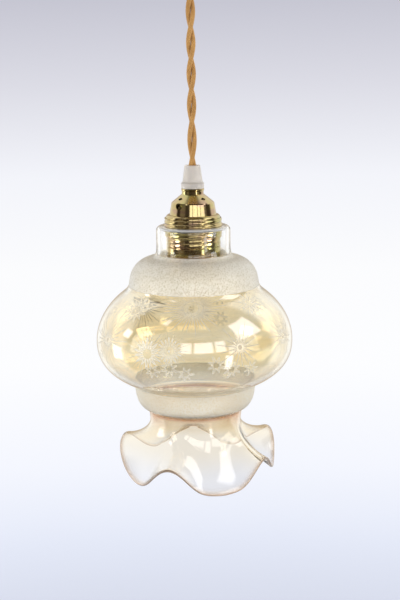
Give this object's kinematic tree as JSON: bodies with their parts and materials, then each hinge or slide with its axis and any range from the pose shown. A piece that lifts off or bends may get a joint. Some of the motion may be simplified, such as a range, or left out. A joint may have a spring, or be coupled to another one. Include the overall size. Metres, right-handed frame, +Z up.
{
  "type": "pendant ceiling light",
  "caption": "Pendant light: brass ceiling rose, twisted textile flex and brass lampholder holding a round blown-glass shade with a ruffled mouth.",
  "frame": {"origin": "middle of the ceiling bracket's top face, on the ceiling and on the light's axis", "axes": "+Z up along the flex, into the ceiling; +X along the bracket and its two fixing slots; -Y towards the front"},
  "size_m": [0.144, 0.144, 0.4062],
  "materials": {
    "zinc_steel": "zinc-plated steel, satin",
    "polished_brass": "polished yellow brass",
    "plain_brass": "plain drawn brass, satin",
    "white_nylon": "white moulded nylon",
    "milky_nylon": "milky translucent nylon",
    "core_sleeving": "insulated copper core under thin gold sleeving",
    "gold_textile": "caramel gold braided textile over two twisted cores",
    "porcelain": "glazed white porcelain",
    "amber_glass": "pale amber blown glass, frosted shoulder and bowl, etched flowers"
  },
  "bodies": {
    "rose": {"ceiling_bracket": "zinc_steel", "ceiling_rose": "polished_brass", "rose_screws": "polished_brass", "terminal_block": "white_nylon", "block_screw": "zinc_steel", "terminal_sleeves": "plain_brass", "terminal_screws": "zinc_steel", "rose_cores": "core_sleeving", "rose_lock_nut": "plain_brass", "rose_lock_washer": "zinc_steel", "rose_grip_body": "milky_nylon", "rose_grip_cone": "milky_nylon", "flex_in_rose": "gold_textile"},
    "bend": {"flex_bend": "gold_textile"},
    "flex": {"flex_cord": "gold_textile"},
    "lampholder": {"lamp_grip_cone": "milky_nylon", "lamp_grip_body": "milky_nylon", "holder_cap": "polished_brass", "holder_cores": "core_sleeving", "terminal_posts": "plain_brass", "post_screws": "zinc_steel", "side_contact": "plain_brass", "socket_base": "porcelain", "leaf_rivet": "plain_brass", "screw_shell": "plain_brass", "shell_screws": "zinc_steel", "socket_liner": "porcelain", "holder_shell": "polished_brass"},
    "upper_ring": {"upper_ring": "polished_brass"},
    "shade": {"glass_shade": "amber_glass"},
    "lower_ring": {"lower_ring": "polished_brass"},
    "contact": {"contact_leaf": "plain_brass"}
  },
  "joints": [
    {"name": "swing_x", "type": "hinge", "parent": "rose", "child": "bend", "pos_m": [0, 0, -0.0505], "axis": [1, 0, 0], "range_deg": [-45, 45]},
    {"name": "swing_y", "type": "hinge", "parent": "bend", "child": "flex", "pos_m": [0, 0, -0.0505], "axis": [0, 1, 0], "range_deg": [-45, 45]},
    {"name": "cord_twist", "type": "hinge", "parent": "flex", "child": "lampholder", "pos_m": [0, 0, -0.193], "axis": [0, 0, 1], "range_deg": [-180, 180]},
    {"name": "upper_ring_turn", "type": "hinge", "parent": "lampholder", "child": "upper_ring", "pos_m": [0, 0, -0.217], "axis": [0, 0, -1], "range_deg": [0, 360]},
    {"name": "shade_lower", "type": "slide", "parent": "lampholder", "child": "shade", "axis": [0, 0, -1], "range_m": [0, 0.0105]},
    {"name": "lower_ring_turn", "type": "hinge", "parent": "shade", "child": "lower_ring", "pos_m": [0, 0, -0.225], "axis": [0, 0, -1], "range_deg": [0, 1260.5]},
    {"name": "contact_press", "type": "hinge", "parent": "lampholder", "child": "contact", "pos_m": [0.006, 0, -0.2228], "axis": [0, 1, 0], "range_deg": [0, 14], "stiffness_Nm_per_rad": 0.12}
  ],
  "couplings": [
    {"joint": "lower_ring_turn", "follows": "shade_lower", "rad_per_m": 2094.4}
  ]
}
